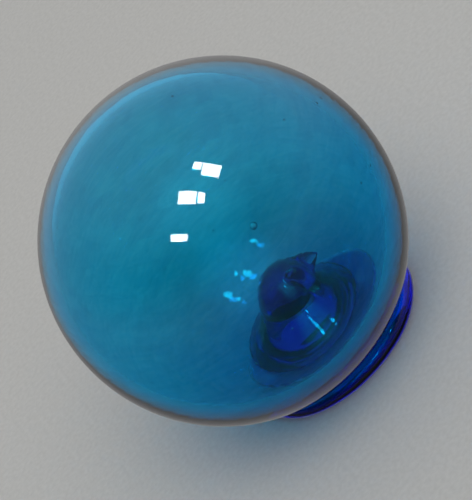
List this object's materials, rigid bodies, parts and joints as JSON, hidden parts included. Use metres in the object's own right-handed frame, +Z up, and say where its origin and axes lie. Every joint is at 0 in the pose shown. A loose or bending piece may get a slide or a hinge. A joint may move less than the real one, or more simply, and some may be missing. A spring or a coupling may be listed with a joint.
{
  "type": "glass ball paperweight",
  "caption": "Hollow blown aqua glass ball on a flattened cobalt glass foot, with a drop of cobalt glass standing inside it.",
  "frame": {"origin": "middle of the foot's flat underside, on the ball's axis", "axes": "+Z up through the ball's centre, away from the foot; +Y is the side that the inner drop leans to"},
  "size_m": [0.076, 0.076, 0.0742],
  "materials": {
    "aqua_glass": "fire-polished, with faint cords and seeds",
    "cobalt_foot": "fire-polished, pressed flat below",
    "cobalt_drop": "fire-polished"
  },
  "bodies": {
    "root": {"ball": "aqua_glass", "foot_pad": "cobalt_foot", "plug_drop": "cobalt_drop"}
  },
  "joints": []
}
